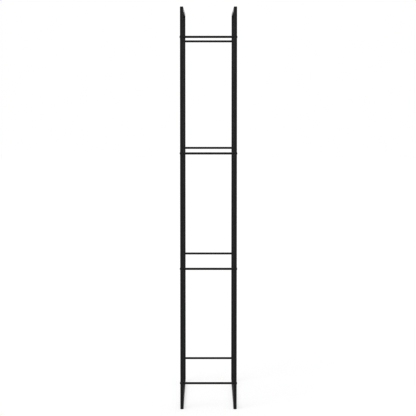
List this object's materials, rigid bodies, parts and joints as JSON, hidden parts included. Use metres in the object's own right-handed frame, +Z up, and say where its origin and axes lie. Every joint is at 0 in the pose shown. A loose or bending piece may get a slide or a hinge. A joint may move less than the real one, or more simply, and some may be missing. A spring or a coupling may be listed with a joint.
{
  "type": "firewood log rack",
  "caption": "Tall narrow open rack for stacking firewood: front and back square-tube frames held apart by bolted round crossbars.",
  "frame": {"origin": "on the floor, at the middle of the rack's footprint", "axes": "+X along the rack's length to its right end, +Y from front to back, +Z up"},
  "size_m": [0.8, 0.2844, 2],
  "materials": {
    "powder_coat": "matte black powder coat",
    "bar_coat": "matte black powder coat on round bar",
    "black_bolt": "satin black oxide",
    "plain_steel": "plain drawn tube, dull"
  },
  "bodies": {
    "root": {"front_bottom_rail": "powder_coat", "front_top_rail": "powder_coat", "back_bottom_rail": "powder_coat", "back_top_rail": "powder_coat", "front_left_bottom_leg": "powder_coat", "front_left_top_leg": "powder_coat", "front_right_bottom_leg": "powder_coat", "front_right_top_leg": "powder_coat", "back_left_bottom_leg": "powder_coat", "back_left_top_leg": "powder_coat", "back_right_bottom_leg": "powder_coat", "back_right_top_leg": "powder_coat", "front_left_post_1": "powder_coat", "front_left_post_2": "powder_coat", "front_left_post_3": "powder_coat", "front_right_post_1": "powder_coat", "front_right_post_2": "powder_coat", "front_right_post_3": "powder_coat", "back_left_post_1": "powder_coat", "back_left_post_2": "powder_coat", "back_left_post_3": "powder_coat", "back_right_post_1": "powder_coat", "back_right_post_2": "powder_coat", "back_right_post_3": "powder_coat", "front_left_sleeve_1": "plain_steel", "front_left_sleeve_2": "plain_steel", "front_left_sleeve_3": "plain_steel", "front_left_sleeve_4": "plain_steel", "front_right_sleeve_1": "plain_steel", "front_right_sleeve_2": "plain_steel", "front_right_sleeve_3": "plain_steel", "front_right_sleeve_4": "plain_steel", "back_left_sleeve_1": "plain_steel", "back_left_sleeve_2": "plain_steel", "back_left_sleeve_3": "plain_steel", "back_left_sleeve_4": "plain_steel", "back_right_sleeve_1": "plain_steel", "back_right_sleeve_2": "plain_steel", "back_right_sleeve_3": "plain_steel", "back_right_sleeve_4": "plain_steel", "left_crossbar_1": "bar_coat", "left_crossbar_2": "bar_coat", "left_crossbar_3": "bar_coat", "left_crossbar_4": "bar_coat", "right_crossbar_1": "bar_coat", "right_crossbar_2": "bar_coat", "right_crossbar_3": "bar_coat", "right_crossbar_4": "bar_coat", "bolts_1": "black_bolt", "bolts_2": "black_bolt", "bolts_3": "black_bolt", "bolts_4": "black_bolt"}
  },
  "joints": []
}
